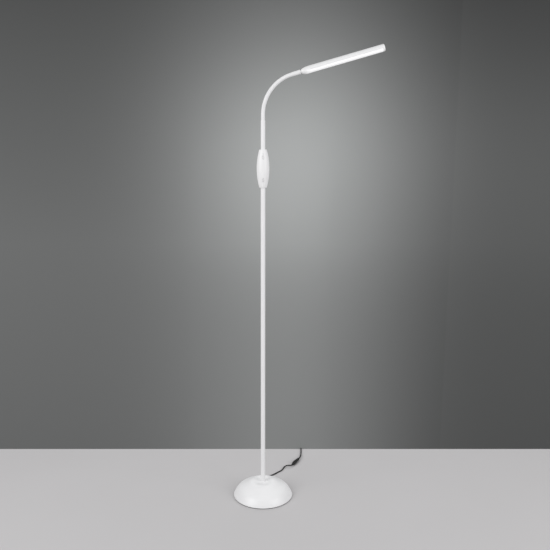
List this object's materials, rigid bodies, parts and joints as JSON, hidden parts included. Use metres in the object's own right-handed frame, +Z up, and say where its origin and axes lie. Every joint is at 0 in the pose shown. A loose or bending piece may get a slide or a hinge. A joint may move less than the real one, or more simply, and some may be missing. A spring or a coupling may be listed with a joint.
{
  "type": "gooseneck reading floor lamp",
  "caption": "Slim floor lamp with a weighted dome base, straight pole, in-line push-button pod, bendable gooseneck and long swivelling tubular LED head.",
  "frame": {"origin": "centre of the underside of the base's foam ring, on the floor", "axes": "+Z up along the pole, +X the way the arm and head reach, +Y towards the back, where the lead leaves the base"},
  "size_m": [0.4812, 0.635, 1.5194],
  "materials": {
    "black_foam": "matte foam",
    "zinc_steel": "zinc plated",
    "cast_iron": "rough cast",
    "white_metal": "satin powder coat",
    "white_alloy": "satin white paint",
    "black_rubber": "matte",
    "white_plastic": "satin",
    "board_green": "solder mask",
    "board_white": "white solder mask",
    "black_plastic": "fine grain",
    "pale_button": "satin",
    "clear_lens": "clear",
    "bare_alloy": "extruded",
    "led_yellow": "gloss",
    "milky": "milky satin",
    "brass": "plain",
    "nickel": "nickel plated",
    "black_cord": "matte"
  },
  "bodies": {
    "stand": {"base_pad": "black_foam", "base_plate": "zinc_steel", "plate_screws": "zinc_steel", "base_weight": "cast_iron", "base_cover": "white_metal", "cord_gland": "black_rubber", "pole_stud": "zinc_steel", "stud_washer": "zinc_steel", "stud_nut": "zinc_steel", "foot_insert": "zinc_steel", "pole_lower": "white_metal", "pole_upper": "white_metal", "pole_coupler": "zinc_steel", "pod_front": "white_plastic", "pod_rear": "white_plastic", "pod_screws": "zinc_steel", "circuit_board": "board_green", "tact_switches": "black_plastic", "indicator_lens": "clear_lens", "lower_collar": "black_plastic", "upper_collar": "black_plastic", "upper_tube": "white_metal", "arm_root": "white_metal", "supply_wire": "black_cord", "arm_wire": "black_cord", "supply_cord": "black_cord", "socket_grip": "black_plastic", "socket_pin": "brass", "plug_barrel": "nickel", "plug_grip": "black_plastic", "adapter_lead": "black_cord", "lead_coil": "black_cord", "adapter_tail": "black_cord", "adapter_relief": "black_rubber", "adapter_case": "black_plastic", "adapter_pins": "brass"},
    "arm_link_1": {"arm_link_1": "white_metal"},
    "arm_link_2": {"arm_link_2": "white_metal"},
    "arm_link_3": {"arm_link_3": "white_metal"},
    "arm_link_4": {"arm_link_4": "white_metal"},
    "arm_link_5": {"arm_link_5": "white_metal"},
    "arm_link_6": {"arm_link_6": "white_metal"},
    "arm_link_7": {"arm_link_7": "white_metal"},
    "arm_link_8": {"arm_link_8": "white_metal"},
    "arm_link_9": {"arm_link_9": "white_metal"},
    "arm_end": {"arm_ferrule": "white_metal", "swivel_spindle": "zinc_steel", "neck_bush": "white_plastic", "swivel_clip": "zinc_steel"},
    "head": {"head_nose": "white_plastic", "head_housing": "white_alloy", "heat_bar": "bare_alloy", "led_board": "board_white", "led_chips": "led_yellow", "diffuser": "milky", "end_cap": "white_plastic", "cap_screws": "zinc_steel"},
    "power_button": {"power_button": "pale_button"},
    "dimmer_button": {"dimmer_button": "pale_button"}
  },
  "joints": [
    {"name": "arm_bend_1", "type": "hinge", "parent": "stand", "child": "arm_link_1", "pos_m": [0, 0, 1.3141], "axis": [0, 1, 0], "range_deg": [-14.7, 10]},
    {"name": "arm_sway_2", "type": "hinge", "parent": "arm_link_1", "child": "arm_link_2", "pos_m": [0.00215, 0, 1.33056], "axis": [0.9811, 0, -0.1933], "range_deg": [-12, 12]},
    {"name": "arm_bend_3", "type": "hinge", "parent": "arm_link_2", "child": "arm_link_3", "pos_m": [0.0064, 0, 1.34661], "axis": [0, 1, 0], "range_deg": [-15.6, 10.9]},
    {"name": "arm_sway_4", "type": "hinge", "parent": "arm_link_3", "child": "arm_link_4", "pos_m": [0.0127, 0, 1.36197], "axis": [0.8988, 0, -0.4384], "range_deg": [-12.8, 12.8]},
    {"name": "arm_bend_5", "type": "hinge", "parent": "arm_link_4", "child": "arm_link_5", "pos_m": [0.02093, 0, 1.37638], "axis": [0, 1, 0], "range_deg": [-15.6, 10.9]},
    {"name": "arm_sway_6", "type": "hinge", "parent": "arm_link_5", "child": "arm_link_6", "pos_m": [0.03095, 0, 1.38961], "axis": [0.7563, 0, -0.6543], "range_deg": [-12.8, 12.8]},
    {"name": "arm_bend_7", "type": "hinge", "parent": "arm_link_6", "child": "arm_link_7", "pos_m": [0.04261, 0, 1.40144], "axis": [0, 1, 0], "range_deg": [-15.6, 10.9]},
    {"name": "arm_sway_8", "type": "hinge", "parent": "arm_link_7", "child": "arm_link_8", "pos_m": [0.05569, 0, 1.41165], "axis": [0.5632, 0, -0.8263], "range_deg": [-12.8, 12.8]},
    {"name": "arm_bend_9", "type": "hinge", "parent": "arm_link_8", "child": "arm_link_9", "pos_m": [0.06998, 0, 1.42009], "axis": [0, 1, 0], "range_deg": [-15.6, 10.9]},
    {"name": "arm_sway_10", "type": "hinge", "parent": "arm_link_9", "child": "arm_end", "pos_m": [0.08525, 0, 1.42661], "axis": [0.3324, 0, -0.9431], "range_deg": [-12.8, 12.8]},
    {"name": "head_swivel", "type": "hinge", "parent": "arm_end", "child": "head", "pos_m": [0.11981, 0, 1.43633], "axis": [0.9627, 0, 0.2706], "range_deg": [-90, 90]},
    {"name": "power_button_press", "type": "slide", "parent": "stand", "child": "power_button", "axis": [0, 1, 0], "range_m": [0, 0.0006], "stiffness_N_per_m": 1200, "springref_m": -0.0003},
    {"name": "dimmer_button_press", "type": "slide", "parent": "stand", "child": "dimmer_button", "axis": [0, 1, 0], "range_m": [0, 0.0006], "stiffness_N_per_m": 1200, "springref_m": -0.0003}
  ],
  "couplings": [
    {"joint": "arm_bend_3", "follows": "arm_bend_1", "ratio": 1},
    {"joint": "arm_sway_4", "follows": "arm_sway_2", "ratio": 1},
    {"joint": "arm_bend_5", "follows": "arm_bend_1", "ratio": 1},
    {"joint": "arm_sway_6", "follows": "arm_sway_2", "ratio": 1},
    {"joint": "arm_bend_7", "follows": "arm_bend_1", "ratio": 1},
    {"joint": "arm_sway_8", "follows": "arm_sway_2", "ratio": 1},
    {"joint": "arm_bend_9", "follows": "arm_bend_1", "ratio": 1},
    {"joint": "arm_sway_10", "follows": "arm_sway_2", "ratio": 1}
  ]
}
